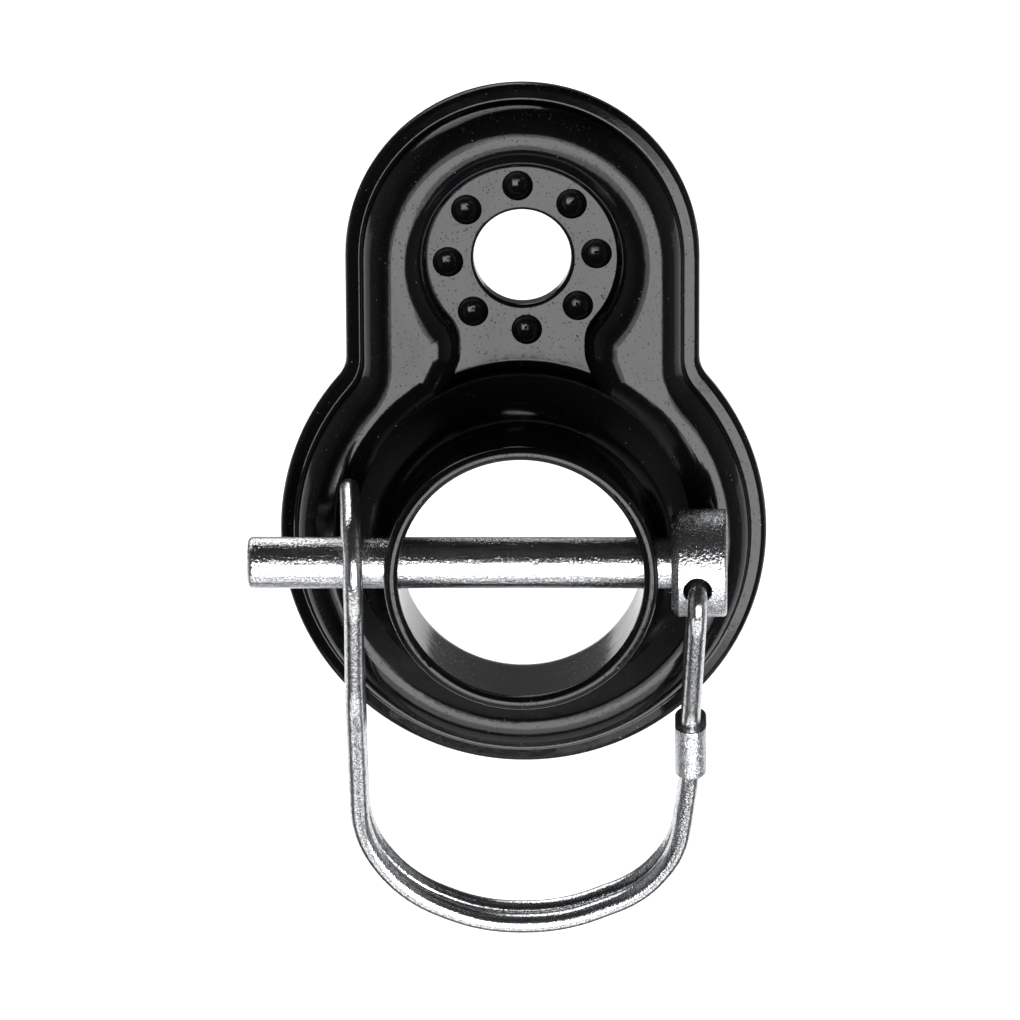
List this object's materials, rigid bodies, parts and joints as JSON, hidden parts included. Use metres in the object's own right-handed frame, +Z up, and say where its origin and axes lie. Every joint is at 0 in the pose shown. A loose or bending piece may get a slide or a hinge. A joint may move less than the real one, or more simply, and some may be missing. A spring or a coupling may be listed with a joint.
{
  "type": "bicycle trailer hitch coupler",
  "caption": "Pressed keyhole-shaped plate with an axle hole, a drawn socket collar and a cross pin held in by a hinged wire bail.",
  "frame": {"origin": "centre of the axle hole on the back clamp face", "axes": "+Z up from the collar towards the axle end of the plate, -Y out of the front, the side the collar stands on, +X towards the head of the pin"},
  "size_m": [0.0636, 0.0279, 0.1089],
  "materials": {
    "black_coating": "gloss",
    "zinc_pin": "satin zinc plate",
    "zinc_wire": "bright zinc plate"
  },
  "bodies": {
    "coupler": {"coupler_plate": "black_coating"},
    "pin": {"pin_shank": "zinc_pin", "pin_head": "zinc_pin"},
    "bail": {"bail_wire": "zinc_wire", "crimp_sleeve": "zinc_wire"}
  },
  "joints": [
    {"name": "pin_turn", "type": "hinge", "parent": "coupler", "child": "pin", "pos_m": [0, -0.0169, -0.0347], "axis": [-1, 0, 0], "range_deg": [0, 195]},
    {"name": "bail_swing", "type": "hinge", "parent": "pin", "child": "bail", "pos_m": [0.0215, -0.0169, -0.0347], "axis": [0, 0.9636, 0.2672], "range_deg": [-4, 15]}
  ]
}
